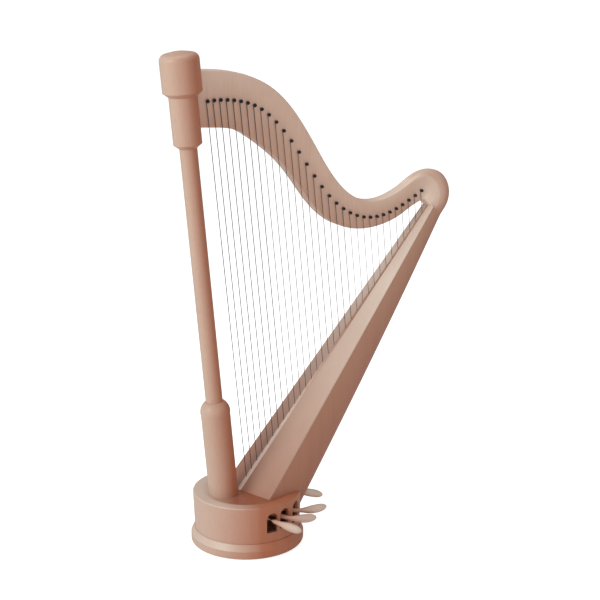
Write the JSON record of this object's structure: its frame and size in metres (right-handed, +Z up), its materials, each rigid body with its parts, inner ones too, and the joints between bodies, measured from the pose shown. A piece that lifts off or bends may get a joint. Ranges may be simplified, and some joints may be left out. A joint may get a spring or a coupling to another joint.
{
  "type": "concert harp",
  "caption": "Concert pedal harp: leaning round column on a drum foot with pedals, curved neck with tuning pins, tapering body with crowned soundboard, and strings.",
  "frame": {"origin": "centre of the round base on the floor", "axes": "+Z up; +X from the column towards the player; -Y the player's left, the side the strings leave the neck"},
  "size_m": [1.2537, 0.5378, 1.8717],
  "materials": {
    "stained_wood": "satin lacquer over rosy brown stained maple",
    "soundboard_wood": "satin lacquer over spruce stained rosy brown",
    "plain_wood": "unfinished hardwood",
    "felt": "pressed felt",
    "bright_steel": "brushed",
    "black_steel": "blackened steel, satin",
    "aluminium_strap": "mill finish",
    "wound_string": "dark wound wire",
    "gut_string": "dark grey gut",
    "nylon_string": "dark grey nylon",
    "pedal_finish": "satin rosy enamel",
    "brass_parts": "brushed"
  },
  "bodies": {
    "harp_frame": {"floor_pad": "felt", "base_plate": "stained_wood", "base_bolts": "bright_steel", "pedal_box": "stained_wood", "slot_felts": "felt", "base_deck": "stained_wood", "deck_screws": "bright_steel", "pedal_brackets": "bright_steel", "pedal_pins": "bright_steel", "pedal_springs": "bright_steel", "column_pedestal": "stained_wood", "column_shaft": "stained_wood", "column_capital": "stained_wood", "head_cap": "stained_wood", "rod_guides": "plain_wood", "crank_frame": "bright_steel", "crank_axle": "bright_steel", "neck": "stained_wood", "neck_bolts": "bright_steel", "shoulder_bolts": "bright_steel", "shoulder_block": "plain_wood", "soundbox_shell": "stained_wood", "soundbox_formers": "aluminium_strap", "bottom_block": "plain_wood", "soundboard": "soundboard_wood", "string_bar": "plain_wood", "string_rib": "soundboard_wood", "tuning_pins": "black_steel", "strings_bass": "wound_string", "strings_gut": "gut_string", "strings_treble": "nylon_string"},
    "pedal_d_body": {"pedal_d": "pedal_finish"},
    "rod_d_body": {"rod_d": "bright_steel"},
    "crank_d_body": {"crank_d": "brass_parts"},
    "link_d_body": {"link_d": "brass_parts"},
    "pedal_c_body": {"pedal_c": "pedal_finish"},
    "rod_c_body": {"rod_c": "bright_steel"},
    "crank_c_body": {"crank_c": "brass_parts"},
    "link_c_body": {"link_c": "brass_parts"},
    "pedal_b_body": {"pedal_b": "pedal_finish"},
    "rod_b_body": {"rod_b": "bright_steel"},
    "crank_b_body": {"crank_b": "brass_parts"},
    "link_b_body": {"link_b": "brass_parts"},
    "pedal_e_body": {"pedal_e": "pedal_finish"},
    "rod_e_body": {"rod_e": "bright_steel"},
    "crank_e_body": {"crank_e": "brass_parts"},
    "link_e_body": {"link_e": "brass_parts"},
    "pedal_f_body": {"pedal_f": "pedal_finish"},
    "rod_f_body": {"rod_f": "bright_steel"},
    "crank_f_body": {"crank_f": "brass_parts"},
    "link_f_body": {"link_f": "brass_parts"},
    "pedal_g_body": {"pedal_g": "pedal_finish"},
    "rod_g_body": {"rod_g": "bright_steel"},
    "crank_g_body": {"crank_g": "brass_parts"},
    "link_g_body": {"link_g": "brass_parts"},
    "pedal_a_body": {"pedal_a": "pedal_finish"},
    "rod_a_body": {"rod_a": "bright_steel"},
    "crank_a_body": {"crank_a": "brass_parts"},
    "link_a_body": {"link_a": "brass_parts"}
  },
  "joints": [
    {"name": "pedal_d_press", "type": "hinge", "parent": "harp_frame", "child": "pedal_d_body", "pos_m": [-0.05659, -0.09692, 0.148], "axis": [0.8991, 0.4378, 0], "range_deg": [0, 8]},
    {"name": "rod_d_lift", "type": "slide", "parent": "harp_frame", "child": "rod_d_body", "axis": [-0.0906, 0, 0.9959], "range_m": [0, 0.01259]},
    {"name": "crank_d_turn", "type": "hinge", "parent": "harp_frame", "child": "crank_d_body", "pos_m": [-0.22634, 0.0145, 1.8], "axis": [0, 1, 0], "range_deg": [0, 18.03]},
    {"name": "link_d_draw", "type": "slide", "parent": "harp_frame", "child": "link_d_body", "axis": [-1, 0, 0], "range_m": [0, 0.01254]},
    {"name": "pedal_c_press", "type": "hinge", "parent": "harp_frame", "child": "pedal_c_body", "pos_m": [-0.03356, -0.08553, 0.148], "axis": [0.7963, 0.6049, 0], "range_deg": [0, 8]},
    {"name": "rod_c_lift", "type": "slide", "parent": "harp_frame", "child": "rod_c_body", "axis": [-0.0906, 0, 0.9959], "range_m": [0, 0.01259]},
    {"name": "crank_c_turn", "type": "hinge", "parent": "harp_frame", "child": "crank_c_body", "pos_m": [-0.22634, 0.02, 1.8], "axis": [0, 1, 0], "range_deg": [0, 18.03]},
    {"name": "link_c_draw", "type": "slide", "parent": "harp_frame", "child": "link_c_body", "axis": [-1, 0, 0], "range_m": [0, 0.01254]},
    {"name": "pedal_b_press", "type": "hinge", "parent": "harp_frame", "child": "pedal_b_body", "pos_m": [-0.01226, -0.06471, 0.148], "axis": [0.6302, 0.7765, 0], "range_deg": [0, 8]},
    {"name": "rod_b_lift", "type": "slide", "parent": "harp_frame", "child": "rod_b_body", "axis": [-0.0906, 0, 0.9959], "range_m": [0, 0.01259]},
    {"name": "crank_b_turn", "type": "hinge", "parent": "harp_frame", "child": "crank_b_body", "pos_m": [-0.22634, 0.0255, 1.8], "axis": [0, 1, 0], "range_deg": [0, 18.03]},
    {"name": "link_b_draw", "type": "slide", "parent": "harp_frame", "child": "link_b_body", "axis": [-1, 0, 0], "range_m": [0, 0.01254]},
    {"name": "pedal_e_press", "type": "hinge", "parent": "harp_frame", "child": "pedal_e_body", "pos_m": [0.01, 0, 0.148], "axis": [0, 1, 0], "range_deg": [0, 8]},
    {"name": "rod_e_lift", "type": "slide", "parent": "harp_frame", "child": "rod_e_body", "axis": [-0.0906, 0, 0.9959], "range_m": [0, 0.01259]},
    {"name": "crank_e_turn", "type": "hinge", "parent": "harp_frame", "child": "crank_e_body", "pos_m": [-0.22634, 0.031, 1.8], "axis": [0, 1, 0], "range_deg": [0, 18.03]},
    {"name": "link_e_draw", "type": "slide", "parent": "harp_frame", "child": "link_e_body", "axis": [-1, 0, 0], "range_m": [0, 0.01254]},
    {"name": "pedal_f_press", "type": "hinge", "parent": "harp_frame", "child": "pedal_f_body", "pos_m": [-0.01226, 0.06471, 0.148], "axis": [-0.6302, 0.7765, 0], "range_deg": [0, 8]},
    {"name": "rod_f_lift", "type": "slide", "parent": "harp_frame", "child": "rod_f_body", "axis": [-0.0906, 0, 0.9959], "range_m": [0, 0.01259]},
    {"name": "crank_f_turn", "type": "hinge", "parent": "harp_frame", "child": "crank_f_body", "pos_m": [-0.22634, 0.0365, 1.8], "axis": [0, 1, 0], "range_deg": [0, 18.03]},
    {"name": "link_f_draw", "type": "slide", "parent": "harp_frame", "child": "link_f_body", "axis": [-1, 0, 0], "range_m": [0, 0.01254]},
    {"name": "pedal_g_press", "type": "hinge", "parent": "harp_frame", "child": "pedal_g_body", "pos_m": [-0.03356, 0.08553, 0.148], "axis": [-0.7963, 0.6049, 0], "range_deg": [0, 8]},
    {"name": "rod_g_lift", "type": "slide", "parent": "harp_frame", "child": "rod_g_body", "axis": [-0.0906, 0, 0.9959], "range_m": [0, 0.01259]},
    {"name": "crank_g_turn", "type": "hinge", "parent": "harp_frame", "child": "crank_g_body", "pos_m": [-0.22634, 0.042, 1.8], "axis": [0, 1, 0], "range_deg": [0, 18.03]},
    {"name": "link_g_draw", "type": "slide", "parent": "harp_frame", "child": "link_g_body", "axis": [-1, 0, 0], "range_m": [0, 0.01254]},
    {"name": "pedal_a_press", "type": "hinge", "parent": "harp_frame", "child": "pedal_a_body", "pos_m": [-0.05659, 0.09692, 0.148], "axis": [-0.8991, 0.4378, 0], "range_deg": [0, 8]},
    {"name": "rod_a_lift", "type": "slide", "parent": "harp_frame", "child": "rod_a_body", "axis": [-0.0906, 0, 0.9959], "range_m": [0, 0.01259]},
    {"name": "crank_a_turn", "type": "hinge", "parent": "harp_frame", "child": "crank_a_body", "pos_m": [-0.22634, 0.0475, 1.8], "axis": [0, 1, 0], "range_deg": [0, 18.03]},
    {"name": "link_a_draw", "type": "slide", "parent": "harp_frame", "child": "link_a_body", "axis": [-1, 0, 0], "range_m": [0, 0.01254]}
  ],
  "couplings": [
    {"joint": "rod_d_lift", "follows": "pedal_d_press", "m_per_rad": 0.090076},
    {"joint": "crank_d_turn", "follows": "pedal_d_press", "ratio": 2.252},
    {"joint": "link_d_draw", "follows": "pedal_d_press", "m_per_rad": 0.089708},
    {"joint": "rod_c_lift", "follows": "pedal_c_press", "m_per_rad": 0.090076},
    {"joint": "crank_c_turn", "follows": "pedal_c_press", "ratio": 2.252},
    {"joint": "link_c_draw", "follows": "pedal_c_press", "m_per_rad": 0.089708},
    {"joint": "rod_b_lift", "follows": "pedal_b_press", "m_per_rad": 0.090076},
    {"joint": "crank_b_turn", "follows": "pedal_b_press", "ratio": 2.252},
    {"joint": "link_b_draw", "follows": "pedal_b_press", "m_per_rad": 0.089708},
    {"joint": "rod_e_lift", "follows": "pedal_e_press", "m_per_rad": 0.090076},
    {"joint": "crank_e_turn", "follows": "pedal_e_press", "ratio": 2.252},
    {"joint": "link_e_draw", "follows": "pedal_e_press", "m_per_rad": 0.089708},
    {"joint": "rod_f_lift", "follows": "pedal_f_press", "m_per_rad": 0.090076},
    {"joint": "crank_f_turn", "follows": "pedal_f_press", "ratio": 2.252},
    {"joint": "link_f_draw", "follows": "pedal_f_press", "m_per_rad": 0.089708},
    {"joint": "rod_g_lift", "follows": "pedal_g_press", "m_per_rad": 0.090076},
    {"joint": "crank_g_turn", "follows": "pedal_g_press", "ratio": 2.252},
    {"joint": "link_g_draw", "follows": "pedal_g_press", "m_per_rad": 0.089708},
    {"joint": "rod_a_lift", "follows": "pedal_a_press", "m_per_rad": 0.090076},
    {"joint": "crank_a_turn", "follows": "pedal_a_press", "ratio": 2.252},
    {"joint": "link_a_draw", "follows": "pedal_a_press", "m_per_rad": 0.089708}
  ]
}
